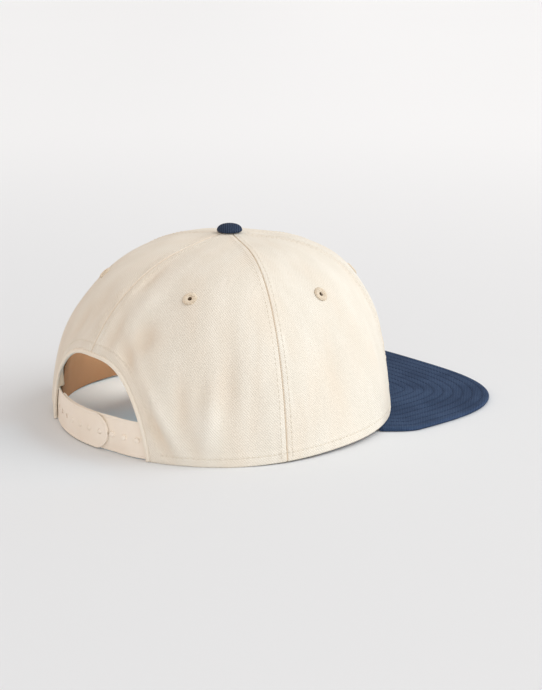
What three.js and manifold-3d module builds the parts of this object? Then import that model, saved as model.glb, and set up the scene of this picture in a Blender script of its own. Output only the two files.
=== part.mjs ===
// A six-panel flat-peak cap: cloth crown, button, eyelets, sweatband, snap strap and peak.
// Millimetres. +Z is up, the wearer faces -Y and +X is the wearer's left.
import * as THREE from 'three';
import { mergeVertices } from 'three/addons/utils/BufferGeometryUtils.js';
import Module from 'manifold-3d';

const wasm = await Module();
wasm.setup();

// Clearance between two pieces that touch on the real cap
const GAP = 0.3;

// Crown: outer size at the rim, height of the top, and how far the top lies ahead of the middle
const FRONT_LENGTH = 88.5;
const BACK_LENGTH = 98.5;
const HALF_WIDTH = 96;
const CROWN_HEIGHT = 99.2;
const TOP_FORWARD = 3;
const CLOTH = 1.4;

// Near the button the panels rise to a low point: how high, and within what share of the half width
const TOP_LIFT = 2.8;
const TOP_LIFT_SHARE = 0.3;

// The plan narrows a little towards the front: share of the width lost there and gained at the back
const TAPER = 0.054;

// Shape of the crown seen from above and from the side, one row for each direction.
// plan: 2 is an ellipse, more is squarer. shoulder and rise: exponents of the wall's outline.
// draw: share of the half width that the wall leans inwards by the top.
const SHAPE = {
  front: { plan: 2, shoulder: 2.48, rise: 3.6, draw: 0 },
  side: { plan: 2.21, shoulder: 3.6, rise: 2.28, draw: 0.2 },
  back: { plan: 1.97, shoulder: 2.11, rise: 1.97, draw: -0.1 },
};

// The strap draws in the rim beside the arch on the wearer's left: how far, and at what angle from
// the front it is drawn in most and how far round it reaches
const TUCK = 2.8;
const TUCK_AT = 147;
const TUCK_WIDTH = 21;

// The rim lies flat at the back and rises towards the front, where it meets the peak
const RIM_FLAT_FROM_Y = 60;
const RIM_RISE = 4.3;

// Seams, in degrees from the front
const FRONT_SEAM = 45.5;
const BACK_SEAM = 109.8;
const TOP_HOLE_RADIUS = 3.6;

// Arch opening at the back: half its width in degrees, its height, and how square its outline is
const ARCH_HALF_ANGLE = 27.4;
const ARCH_HEIGHT = 47.6;
const ARCH_SQUARE = { across: 2.9, up: 1.49 };
const BINDING_RADIUS = 1;

// Sweatband, inside the rim
const BAND_HEIGHT = 32;
const BAND_CLOTH = 1;
const BAND_DEPTH = 3.5;

// Button: a dome with a rivet through the top hole
const BUTTON_RADIUS = 7;
const BUTTON_HEIGHT = 4.4;
const RIVET_RADIUS = 1.8;
const RIVET_LENGTH = 3;

// Eyelets: one in each panel, at an angle from the front and a height
const EYELET_RADIUS = 4;
const EYELET_HOLE = 1.3;
const EYELET_SLEEVE = 2;
const EYELET_RAISED = 1;
const EYELET_ANGLE = { front: 22.7, side: 80.8, back: 145.9 };
const EYELET_HEIGHT = { front: 76, side: 76, back: 79 };

// Peak: a flat board that reaches ahead of the crown, wider than it, its root under the crown's edge
const PEAK_REACH = 61.3;
const PEAK_HALF_WIDTH = 97.7;
const PEAK_WIDEST_Y = -58.5;
const PEAK_SQUARE = 3.1;
const PEAK_THICK = 2.3;
const PEAK_EDGE_TOP = 2.4;
const PEAK_ROOT_END = 66;

// Snap strap: two thin plastic straps that overlap in the arch
const STRAP_THICK = 1.1;
const STRAP_DEPTH = 2.1;
const STRAP_BOTTOM = 0.5;
const STRAP_TOP = 19.5;
const STRAP_SEWN_IN = 6;
const STRAP_ROUND_END = 191.9;
const STRAP_HIDDEN_END = 158;

// Pegs and holes: degrees from the front round to the first peg, and from one to the next
const PEG_FIRST = 203.1;
const PEG_STEP = 4.85;
const PEG_COUNT = 7;
const PEG_RADIUS = 1.4;
const PEG_HEIGHT = 1.7;
const HOLE_RADIUS = 1.8;
const OPEN_PEGS = 3;

const CREAM_CLOTH = new THREE.MeshStandardMaterial({ color: 0xefe4d2, roughness: 0.95, metalness: 0 });
const NAVY_CLOTH = new THREE.MeshStandardMaterial({ color: 0x3b4a63, roughness: 0.9, metalness: 0 });
const TAN_CLOTH = new THREE.MeshStandardMaterial({ color: 0xb48a62, roughness: 0.95, metalness: 0 });
const CREAM_THREAD = new THREE.MeshStandardMaterial({ color: 0xe9dbc4, roughness: 0.8, metalness: 0 });
const CREAM_PLASTIC = new THREE.MeshStandardMaterial({ color: 0xe6d7c0, roughness: 0.5, metalness: 0 });

const radians = THREE.MathUtils.degToRad;

// Mixes the three rows of SHAPE for one direction around the crown.
function shapeAt(phi) {
  const front = Math.max(Math.cos(phi), 0) ** 2;
  const back = Math.max(-Math.cos(phi), 0) ** 2;
  const side = Math.sin(phi) ** 2;
  const mix = (key) => front * SHAPE.front[key] + side * SHAPE.side[key] + back * SHAPE.back[key];
  return { plan: mix('plan'), shoulder: mix('shoulder'), rise: mix('rise'), draw: mix('draw') };
}

// Height of the rim's edge at a distance behind or ahead of the middle.
function rimHeight(y) {
  const share = (RIM_FLAT_FROM_Y - y) / (RIM_FLAT_FROM_Y + FRONT_LENGTH);
  return RIM_RISE * Math.max(share, 0);
}

// Rim's outer edge. phi runs from the front (0) over the wearer's left (90) to the back (180).
function rimPoint(phi) {
  const { plan } = shapeAt(phi);
  const length = Math.cos(phi) > 0 ? FRONT_LENGTH : BACK_LENGTH;
  const across = Math.abs(Math.sin(phi) / HALF_WIDTH) ** plan;
  const along = Math.abs(Math.cos(phi) / length) ** plan;
  const radius = (across + along) ** (-1 / plan);
  const y = -radius * Math.cos(phi);
  const x = radius * Math.sin(phi) * (1 + (TAPER * y) / BACK_LENGTH);
  return new THREE.Vector3(x, y, rimHeight(y));
}

// Share of the rim's radius by which the strap draws it in.
function tuckShare(phi) {
  const turn = phi - radians(TUCK_AT);
  const away = Math.atan2(Math.sin(turn), Math.cos(turn)) / radians(TUCK_WIDTH);
  return (TUCK / BACK_LENGTH) * Math.exp(-(away ** 2));
}

// Outer face of the crown. climb runs from 0 at the rim to 90 degrees at the top.
function crownFace(phi, climb) {
  const { shoulder, rise, draw } = shapeAt(phi);
  const reach = Math.cos(climb);
  const height = Math.max(1 - reach ** shoulder, 0) ** (1 / rise);
  const rim = rimPoint(phi);
  const drawn = reach * (1 - draw * height) * (1 - tuckShare(phi) * (1 - height));
  const y = rim.y * drawn - TOP_FORWARD * height;
  const lift = TOP_LIFT * Math.max(1 - reach / TOP_LIFT_SHARE, 0) ** 2;
  return new THREE.Vector3(rim.x * drawn, y, rim.z + (CROWN_HEIGHT - rim.z) * height + lift);
}

// The climb at which the crown's outer face reaches a height.
function climbAt(phi, z) {
  const { shoulder, rise } = shapeAt(phi);
  const rim = rimPoint(phi);
  const height = Math.max((z - rim.z) / (CROWN_HEIGHT - rim.z), 0);
  return Math.acos((1 - height ** rise) ** (1 / shoulder));
}

// Outward normal of the crown's face.
function crownNormal(phi, climb) {
  const step = 0.01;
  const here = crownFace(phi, climb);
  const up = crownFace(phi, climb + step).sub(here);
  const around = crownFace(phi + step, climb).sub(here);
  return around.cross(up).normalize();
}

// A point at a depth below the crown's outer face.
function crownPoint(phi, climb, depth) {
  return crownFace(phi, climb).addScaledVector(crownNormal(phi, climb), -depth);
}

// The same, given by its height instead of its climb.
function bandPoint(phi, z, depth) {
  const point = crownPoint(phi, climbAt(phi, z), depth);
  point.z = z;
  return point;
}

// A closed geometry with shared vertices, turned so that its faces point outwards.
function closed(geometry) {
  const bare = geometry.clone();
  bare.deleteAttribute('normal');
  bare.deleteAttribute('uv');
  const merged = mergeVertices(bare);
  const place = merged.attributes.position;
  const order = merged.index.array;
  const corner = [new THREE.Vector3(), new THREE.Vector3(), new THREE.Vector3()];
  let volume = 0;
  for (let i = 0; i < order.length; i += 3) {
    corner.forEach((point, k) => point.fromBufferAttribute(place, order[i + k]));
    volume += corner[0].dot(corner[1].cross(corner[2]));
  }
  if (volume < 0) order.reverse();
  merged.computeVertexNormals();
  return merged;
}

// A closed wall. outer and inner give the points of its two faces for u and v from 0 to 1.
function wall(columns, rows, outer, inner) {
  const positions = [];
  const order = [];
  const perRow = columns + 1;
  const perFace = perRow * (rows + 1);
  for (const face of [outer, inner]) {
    for (let j = 0; j <= rows; j++) {
      for (let i = 0; i <= columns; i++) positions.push(...face(i / columns, j / rows).toArray());
    }
  }
  const quad = (a, b, c, d) => order.push(a, b, c, a, c, d);
  for (let j = 0; j < rows; j++) {
    for (let i = 0; i < columns; i++) {
      const at = j * perRow + i;
      quad(at, at + 1, at + 1 + perRow, at + perRow);
      quad(perFace + at, perFace + at + perRow, perFace + at + 1 + perRow, perFace + at + 1);
    }
  }
  for (let i = 0; i < columns; i++) {
    const top = rows * perRow + i;
    quad(i + 1, i, perFace + i, perFace + i + 1);
    quad(top, top + 1, perFace + top + 1, perFace + top);
  }
  for (let j = 0; j < rows; j++) {
    const left = j * perRow;
    const right = left + columns;
    quad(left, left + perRow, perFace + left + perRow, perFace + left);
    quad(right + perRow, right, perFace + right, perFace + right + perRow);
  }
  const geometry = new THREE.BufferGeometry();
  geometry.setAttribute('position', new THREE.Float32BufferAttribute(positions, 3));
  geometry.setIndex(order);
  return closed(geometry);
}

// A closed geometry as a solid that can be cut or joined, and back.
function solidOf(geometry) {
  const vertProperties = new Float32Array(geometry.attributes.position.array);
  const triVerts = new Uint32Array(geometry.index.array);
  return new wasm.Manifold(new wasm.Mesh({ numProp: 3, vertProperties, triVerts }));
}

function geometryOf(solid) {
  const { vertProperties, triVerts } = solid.getMesh();
  const geometry = new THREE.BufferGeometry();
  geometry.setAttribute('position', new THREE.BufferAttribute(vertProperties, 3));
  geometry.setIndex(new THREE.BufferAttribute(triVerts, 1));
  geometry.computeVertexNormals();
  return geometry;
}

// A cylinder along the crown's normal, from one depth to another.
function pinAt(phi, z, radius, depthFrom, depthTo, sides) {
  const climb = climbAt(phi, z);
  const pin = new THREE.CylinderGeometry(radius, radius, depthTo - depthFrom, sides);
  const turn = new THREE.Quaternion().setFromUnitVectors(new THREE.Vector3(0, 1, 0), crownNormal(phi, climb));
  pin.applyQuaternion(turn);
  pin.translate(...crownPoint(phi, climb, (depthFrom + depthTo) / 2).toArray());
  return solidOf(closed(pin));
}

const cap = new THREE.Group();

function addPiece(name, geometry, material) {
  const mesh = new THREE.Mesh(geometry, material);
  mesh.name = name;
  cap.add(mesh);
  return mesh;
}

// Crown panels: a gore of cloth between two seams, from the rim to the hole under the button.
// The arch opening is left out of the two back panels, with room for its binding.
const PANELS = [
  { name: 'front', from: 0, to: FRONT_SEAM, columns: 9 },
  { name: 'side', from: FRONT_SEAM, to: BACK_SEAM, columns: 12 },
  { name: 'back', from: BACK_SEAM, to: 180, columns: 20 },
];
const PANEL_ROWS = 13;
const TOP_CLIMB = Math.acos(TOP_HOLE_RADIUS / HALF_WIDTH);
const HEM_GAP = BINDING_RADIUS + GAP;
const HEM_HALF_ANGLE = ARCH_HALF_ANGLE + THREE.MathUtils.radToDeg(HEM_GAP / BACK_LENGTH);

// Height of the arch's outline at a share of its half width, from 1 at the middle to 0 at a corner.
function archShare(across) {
  const share = 1 - Math.min(across, 1) ** ARCH_SQUARE.across;
  return share ** (1 / ARCH_SQUARE.up);
}

// Angle of a panel's column. Those over the arch stand closer together near its steep corner.
function columnAngle({ name, from, to }, u) {
  const before = 0.4;
  if (name !== 'back') return from + (to - from) * u;
  if (u < before) return from + ((180 - HEM_HALF_ANGLE - from) * u) / before;
  const turn = ((u - before) / (1 - before)) * (Math.PI / 2);
  return 180 - HEM_HALF_ANGLE * Math.cos(turn);
}

function panel(gore, sign) {
  const point = (u, v, depth) => {
    const angle = columnAngle(gore, u);
    const middle = radians(angle);
    const rim = rimPoint(middle);
    const hem = (ARCH_HEIGHT + HEM_GAP) * archShare((180 - angle) / HEM_HALF_ANGLE);
    const start = climbAt(middle, rim.z + hem);
    const climb = start + (TOP_CLIMB - start) * v;
    const radius = Math.hypot(rim.x, rim.y) * Math.cos(climb);
    const phi = sign * (middle + (GAP / 2 / radius) * (1 - 2 * u));
    const place = crownPoint(phi, climb, depth);
    if (v === 0) place.z = crownFace(phi, climb).z;
    return place;
  };
  return wall(gore.columns, PANEL_ROWS, (u, v) => point(u, v, 0), (u, v) => point(u, v, CLOTH));
}

const SIDES = [
  { name: 'left', sign: 1 },
  { name: 'right', sign: -1 },
];

// Eyelet: a raised ring of thread on the panel, with a sleeve through its hole.
const eyeletProfile = [
  { radius: EYELET_HOLE, height: -CLOTH - GAP },
  { radius: EYELET_SLEEVE, height: -CLOTH - GAP },
  { radius: EYELET_SLEEVE, height: GAP },
  { radius: EYELET_RADIUS, height: GAP },
  { radius: EYELET_RADIUS - 0.4, height: GAP + EYELET_RAISED * 0.8 },
  { radius: EYELET_RADIUS - 1.4, height: GAP + EYELET_RAISED },
  { radius: EYELET_HOLE, height: GAP + EYELET_RAISED * 0.5 },
  { radius: EYELET_HOLE, height: -CLOTH - GAP },
].map(({ radius, height }) => new THREE.Vector2(radius, height));
const UPRIGHT = new THREE.Vector3(0, 1, 0);

for (const gore of PANELS) {
  for (const side of SIDES) {
    const phi = side.sign * radians(EYELET_ANGLE[gore.name]);
    const z = EYELET_HEIGHT[gore.name];
    const hole = pinAt(phi, z, EYELET_SLEEVE + GAP, -1, CLOTH + 1, 14);
    const cloth = solidOf(panel(gore, side.sign)).subtract(hole);
    addPiece(`crown_panel_${gore.name}_${side.name}`, geometryOf(cloth), CREAM_CLOTH);

    const thread = closed(new THREE.LatheGeometry(eyeletProfile, 14));
    const ring = addPiece(`eyelet_${gore.name}_${side.name}`, thread, CREAM_THREAD);
    const climb = climbAt(phi, z);
    ring.position.copy(crownFace(phi, climb));
    ring.quaternion.setFromUnitVectors(UPRIGHT, crownNormal(phi, climb));
  }
}

// Binding: a thin roll of tape along the arch, level with the middle of the cloth.
class ArchCurve extends THREE.Curve {
  getPoint(t) {
    const across = Math.sin((t - 0.5) * Math.PI);
    const phi = Math.PI + radians(ARCH_HALF_ANGLE) * across;
    return bandPoint(phi, GAP + (ARCH_HEIGHT - GAP) * archShare(Math.abs(across)), CLOTH / 2);
  }
}

const rollSection = new THREE.Shape();
rollSection.absarc(0, 0, BINDING_RADIUS, 0, Math.PI * 2);
const roll = new THREE.ExtrudeGeometry(rollSection, {
  steps: 44,
  curveSegments: 4,
  bevelEnabled: false,
  extrudePath: new ArchCurve(),
});
addPiece('arch_binding', closed(roll), CREAM_CLOTH);

// Button: a dome on the top, with the rivet that goes through the hole between the panels.
const DOME_STEPS = 6;
const buttonProfile = [
  new THREE.Vector2(0, -RIVET_LENGTH),
  new THREE.Vector2(RIVET_RADIUS, -RIVET_LENGTH),
  new THREE.Vector2(RIVET_RADIUS, GAP),
  new THREE.Vector2(BUTTON_RADIUS - 0.6, GAP),
];
for (let i = 0; i <= DOME_STEPS; i++) {
  const angle = (i / DOME_STEPS) * (Math.PI / 2);
  const radius = BUTTON_RADIUS * Math.cos(angle) ** 0.75;
  const height = GAP + 0.8 + (BUTTON_HEIGHT - 0.8) * Math.sin(angle);
  buttonProfile.push(new THREE.Vector2(i === DOME_STEPS ? 0 : radius, height));
}
const button = addPiece('button', closed(new THREE.LatheGeometry(buttonProfile, 20)), NAVY_CLOTH);
button.rotation.x = Math.PI / 2;
button.position.set(0, -TOP_FORWARD, crownFace(0, TOP_CLIMB).z);

// Sweatband: from one corner of the arch, round the front, to the other.
const BAND_END = 180 - ARCH_HALF_ANGLE - 1;
const band = (depth) => (u, v) => {
  const phi = radians(BAND_END * (2 * u - 1));
  const foot = rimPoint(phi).z + GAP;
  return bandPoint(phi, foot + BAND_HEIGHT * v, depth);
};
addPiece('sweatband', wall(72, 2, band(BAND_DEPTH), band(BAND_DEPTH + BAND_CLOTH)), TAN_CLOTH);

// Peak: a board ruled between its root, under the crown's edge, and its free edge.
const peakStart = rimPoint(radians(PEAK_ROOT_END));

// Free edge, from the left root end round the front: straight sides, then a squarish curve.
function peakEdge(t) {
  const side = 0.16;
  const left = t < 0.5 ? 1 : -1;
  const share = Math.min(t, 1 - t) / side;
  if (share < 1) {
    const x = peakStart.x + 1.5 + (PEAK_HALF_WIDTH - peakStart.x - 1.5) * Math.sin((share * Math.PI) / 2);
    return new THREE.Vector2(left * x, peakStart.y - 1 + (PEAK_WIDEST_Y - peakStart.y + 1) * share);
  }
  const turn = ((t - side) / (1 - 2 * side)) * Math.PI;
  const across = Math.abs(Math.cos(turn)) ** (2 / PEAK_SQUARE);
  const ahead = Math.sin(turn) ** (2 / PEAK_SQUARE);
  const reach = FRONT_LENGTH + PEAK_REACH + PEAK_WIDEST_Y;
  return new THREE.Vector2(left * PEAK_HALF_WIDTH * across, PEAK_WIDEST_Y - reach * ahead);
}

const PEAK_COLUMNS = 56;
const edgeCurve = new THREE.CatmullRomCurve3(
  Array.from({ length: 121 }, (_, i) => {
    const point = peakEdge(i / 120);
    return new THREE.Vector3(point.x, point.y, PEAK_EDGE_TOP);
  }),
);
const rootCurve = new THREE.CatmullRomCurve3(
  Array.from({ length: 61 }, (_, i) => {
    const phi = radians(PEAK_ROOT_END * (1 - i / 30));
    const point = crownPoint(phi, 0, CLOTH);
    point.z = rimPoint(phi).z - GAP;
    return point;
  }),
);
const edgePoints = edgeCurve.getSpacedPoints(PEAK_COLUMNS);
const rootPoints = rootCurve.getSpacedPoints(PEAK_COLUMNS);
const board = (below) => (u, v) => {
  const column = Math.round(u * PEAK_COLUMNS);
  const point = rootPoints[column].clone().lerp(edgePoints[column], v);
  point.z -= below;
  return point;
};
addPiece('peak', wall(PEAK_COLUMNS, 4, board(0), board(PEAK_THICK)), NAVY_CLOTH);

// Straps: both are sewn in behind the arch's corners, and the one with pegs passes inside the other.
function strap(from, to, depthAt, roundEnd) {
  const middle = (STRAP_BOTTOM + STRAP_TOP) / 2;
  const half = (STRAP_TOP - STRAP_BOTTOM) / 2;
  const length = Math.abs(radians(to - from)) * BACK_LENGTH;
  const face = (extra) => (u, v) => {
    const angle = from + (to - from) * u;
    const left = Math.min((length * (1 - u)) / half, 1);
    const narrowed = roundEnd ? Math.max(Math.sqrt(1 - (1 - left) ** 2), 0.2) : 1;
    return bandPoint(radians(angle), middle + half * narrowed * (2 * v - 1), depthAt(angle) + extra);
  };
  return solidOf(wall(44, 2, face(0), face(STRAP_THICK)));
}

const strapMiddle = (STRAP_BOTTOM + STRAP_TOP) / 2;
const underDepth = STRAP_DEPTH + STRAP_THICK + GAP;

// The strap with pegs comes out from under the other one and rises level with it.
function pegStrapDepth(angle) {
  const share = THREE.MathUtils.smoothstep(angle, STRAP_ROUND_END + 0.5, STRAP_ROUND_END + 10);
  return underDepth + (STRAP_DEPTH - underDepth) * share;
}

let pegStrap = strap(180 + ARCH_HALF_ANGLE + STRAP_SEWN_IN, STRAP_HIDDEN_END, pegStrapDepth, true);
let holeStrap = strap(180 - ARCH_HALF_ANGLE - STRAP_SEWN_IN, STRAP_ROUND_END, () => STRAP_DEPTH, true);
for (let i = 0; i < PEG_COUNT; i++) {
  const pegAngle = PEG_FIRST - PEG_STEP * i;
  const base = pegStrapDepth(pegAngle);
  const peg = pinAt(radians(pegAngle), strapMiddle, PEG_RADIUS, base - PEG_HEIGHT, base + STRAP_THICK / 2, 12);
  pegStrap = pegStrap.add(peg);
  const holeAngle = radians(pegAngle - PEG_STEP * OPEN_PEGS);
  const hole = pinAt(holeAngle, strapMiddle, HOLE_RADIUS, STRAP_DEPTH - 1, underDepth + 1, 12);
  holeStrap = holeStrap.subtract(hole);
}
addPiece('strap_with_pegs', geometryOf(pegStrap), CREAM_PLASTIC);
addPiece('strap_with_holes', geometryOf(holeStrap), CREAM_PLASTIC);

// The origin lies under the middle of the whole cap.
const middle = new THREE.Box3().setFromObject(cap, true).getCenter(new THREE.Vector3());
cap.position.set(-middle.x, -middle.y, 0);

export default cap;
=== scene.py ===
import math

import bmesh
import bpy
import numpy as np
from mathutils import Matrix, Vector
from mathutils.bvhtree import BVHTree


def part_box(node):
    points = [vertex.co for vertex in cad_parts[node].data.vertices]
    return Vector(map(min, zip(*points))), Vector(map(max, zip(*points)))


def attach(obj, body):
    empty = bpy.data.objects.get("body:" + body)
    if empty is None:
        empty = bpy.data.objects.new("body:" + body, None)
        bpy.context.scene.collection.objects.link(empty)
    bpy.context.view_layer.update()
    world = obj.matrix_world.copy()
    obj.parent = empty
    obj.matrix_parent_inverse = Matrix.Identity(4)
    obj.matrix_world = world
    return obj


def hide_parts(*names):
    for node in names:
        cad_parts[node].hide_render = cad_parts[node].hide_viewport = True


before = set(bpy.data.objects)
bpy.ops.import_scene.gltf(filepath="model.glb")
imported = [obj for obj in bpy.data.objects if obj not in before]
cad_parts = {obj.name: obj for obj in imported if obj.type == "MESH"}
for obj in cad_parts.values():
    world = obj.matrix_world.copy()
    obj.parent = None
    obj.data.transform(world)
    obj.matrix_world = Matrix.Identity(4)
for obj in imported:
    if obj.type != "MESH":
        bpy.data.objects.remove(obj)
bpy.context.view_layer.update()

bpy.ops.object.select_all(action="DESELECT")

# Crown panels. Six gores of cream cotton twill, turned in along their edges and sewn together over
# tape, so that a flat band stands up along each seam with the join sunk in its middle. The lower
# edge and the edge round the arch are turned in too. Sizes are in millimetres, the wearer faces -Y.
FRONT_LENGTH, BACK_LENGTH, HALF_WIDTH = 88.5, 98.5, 96.0
CROWN_HEIGHT, TOP_FORWARD, TAPER = 99.2, 3.0, 0.054
RIM_FLAT_FROM_Y, RIM_RISE = 60.0, 4.3
PEAK_REACH = 61.3
CLOTH = 1.4
TOP_LIFT, TOP_LIFT_SHARE = 2.8, 0.3
TUCK, TUCK_AT, TUCK_WIDTH = 2.8, 147.0, 21.0
FRONT_SEAM, BACK_SEAM, TOP_HOLE_RADIUS = 45.5, 109.8, 3.6
ARCH_HALF_ANGLE, ARCH_HEIGHT = 27.4, 47.6
HEM_GAP = 0.75
ROW_FROM_SEAM, ROW_FROM_HEM = 3.2, 4.4
EYELET_ANGLE = {"front": 22.7, "side": 80.8, "back": 145.9}
EYELET_HEIGHT = {"front": 76.0, "side": 76.0, "back": 79.0}
EYELET_SLEEVE = 2.0

# How square the plan is, and the outline of the wall, towards the front, the side and the back
CROWN_SHAPE = {
    "plan": (2.0, 2.21, 1.97),
    "shoulder": (2.48, 3.6, 2.11),
    "rise": (3.6, 2.28, 1.97),
    "draw": (0.0, 0.2, -0.1),
}

# The modelling frame's origin lies under the middle of the crown, and the row frame's under the box
MIDDLE_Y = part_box("peak")[0][1] * 1000 + FRONT_LENGTH + PEAK_REACH


def in_frame(points):
    return (np.asarray(points) + (0, MIDDLE_Y, 0)) * 0.001


def crown_shape(key, phi):
    front, side, back = CROWN_SHAPE[key]
    ahead = np.cos(phi)
    return front * np.maximum(ahead, 0) ** 2 + side * np.sin(phi) ** 2 + back * np.maximum(-ahead, 0) ** 2


def rim_point(phi):
    plan = crown_shape("plan", phi)
    length = np.where(np.cos(phi) > 0, FRONT_LENGTH, BACK_LENGTH)
    radius = (np.abs(np.sin(phi) / HALF_WIDTH) ** plan + np.abs(np.cos(phi) / length) ** plan) ** (-1 / plan)
    y = -radius * np.cos(phi)
    x = radius * np.sin(phi) * (1 + TAPER * y / BACK_LENGTH)
    z = RIM_RISE * np.maximum((RIM_FLAT_FROM_Y - y) / (RIM_FLAT_FROM_Y + FRONT_LENGTH), 0)
    return np.stack([x, y, z], -1)


def crown_face(phi, climb):
    reach = np.cos(climb)
    height = np.maximum(1 - reach ** crown_shape("shoulder", phi), 0) ** (1 / crown_shape("rise", phi))
    rim = rim_point(phi)
    turn = phi - np.radians(TUCK_AT)
    away = np.arctan2(np.sin(turn), np.cos(turn)) / np.radians(TUCK_WIDTH)
    tuck = TUCK / BACK_LENGTH * np.exp(-away ** 2) * (1 - height)
    drawn = reach * (1 - crown_shape("draw", phi) * height) * (1 - tuck)
    lift = TOP_LIFT * np.maximum(1 - reach / TOP_LIFT_SHARE, 0) ** 2
    z = rim[..., 2] + (CROWN_HEIGHT - rim[..., 2]) * height + lift
    return np.stack([rim[..., 0] * drawn, rim[..., 1] * drawn - TOP_FORWARD * height, z], -1)


def climb_at(phi, z):
    foot = rim_point(phi)[..., 2]
    height = np.clip((z - foot) / (CROWN_HEIGHT - foot), 0, 1)
    return np.arccos((1 - height ** crown_shape("rise", phi)) ** (1 / crown_shape("shoulder", phi)))


def unit(vectors):
    return vectors / np.maximum(np.linalg.norm(vectors, axis=-1, keepdims=True), 1e-12)


def crown_normal(phi, climb):
    here = crown_face(phi, climb)
    return unit(np.cross(crown_face(phi + 0.01, climb) - here, crown_face(phi, climb + 0.01) - here))


def band_point(phi, z, depth):
    climb = climb_at(phi, z)
    point = crown_face(phi, climb) - crown_normal(phi, climb) * np.asarray(depth)[..., None]
    point[..., 2] = z
    return point


def arch_share(across):
    return (1 - np.minimum(np.abs(across), 1) ** 2.9) ** (1 / 1.49)


def arch_line(gap, count):
    turn = np.linspace(-np.pi / 2, np.pi / 2, count)
    half = np.radians(ARCH_HALF_ANGLE) + gap / BACK_LENGTH
    phi = np.pi + half * np.sin(turn)
    return phi, (ARCH_HEIGHT + gap) * arch_share(np.sin(turn))


def smooth(value, low, high):
    share = np.clip((value - low) / (high - low), 0, 1)
    return share * share * (3 - 2 * share)


def nearest(points, line):
    flat = points.reshape(-1, 3)
    found = np.full(len(flat), 1e9)
    for start, end in zip(line[:-1], line[1:]):
        way = end - start
        if way @ way < 1e-12:
            continue
        share = np.clip((flat - start) @ way / (way @ way), 0, 1)
        found = np.minimum(found, np.linalg.norm(flat - start - share[:, None] * way, axis=1))
    return found.reshape(points.shape[:-1])


hem_phi, hem_z = arch_line(HEM_GAP, 90)
ARCH_HEM = band_point(hem_phi, hem_z, 0.0 * hem_z)


# Soft folds in the wearer's right back panel, and a few round the rest of the crown: each has its
# angle, height, half width and half length, how far it stands out or sinks in, and how it leans
FOLDS = [
    (-160, 60, 6, 7, -2.7, 0), (-164.5, 51, 5, 8, -2.1, 0.5), (-150, 16, 4, 13, -2.1, 0.55),
    (-150, 26, 4, 21, 1.4, 0.65), (-143, 29, 4.5, 14, -1.5, 0.1), (-137, 34, 4, 9, -1.2, 0),
    (-134, 23, 5, 14, 1.9, 0), (-128, 40, 5, 17, -1.6, 0), (-165, 74, 5, 10, 0.9, -0.3),
    (-173, 60, 3.5, 9, -1.3, 0), (-175, 83, 5, 6, -1.3, 0), (-120, 28, 6, 18, -0.9, 0),
    (-138, 9, 4, 9, -0.9, 0.2), (-130, 66, 8, 14, -0.8, 0), (-114, 60, 6, 12, 0.6, 0),
    (162, 59, 5, 9, -1.6, 0), (168, 70, 5, 9, -1.2, 0.2), (150, 30, 5, 14, -1.2, 0),
    (139, 10, 12, 30, 1.6, 0), (133, 22, 5, 16, 0.9, 0), (125, 50, 7, 13, -1.0, 0),
    (80, 40, 8, 16, -0.8, 0.2), (-86, 38, 9, 18, -0.7, 0), (-62, 22, 7, 14, 0.7, 0.2),
    (30, 60, 9, 14, 0.7, 0), (-20, 40, 10, 16, -0.6, 0),
]


def folds(phi, climb):
    place, rim = crown_face(phi, climb), rim_point(phi)
    radius = np.hypot(rim[..., 0], rim[..., 1]) * np.cos(climb)
    out = 0 * radius
    for angle, up, wide, tall, depth, lean in FOLDS:
        above = place[..., 2] - up
        aside = ((phi - np.radians(angle) + np.pi) % (2 * np.pi) - np.pi) * radius + lean * above
        out += depth * np.exp(-(aside / wide) ** 2 - (above / tall) ** 2)
    return out


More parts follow.
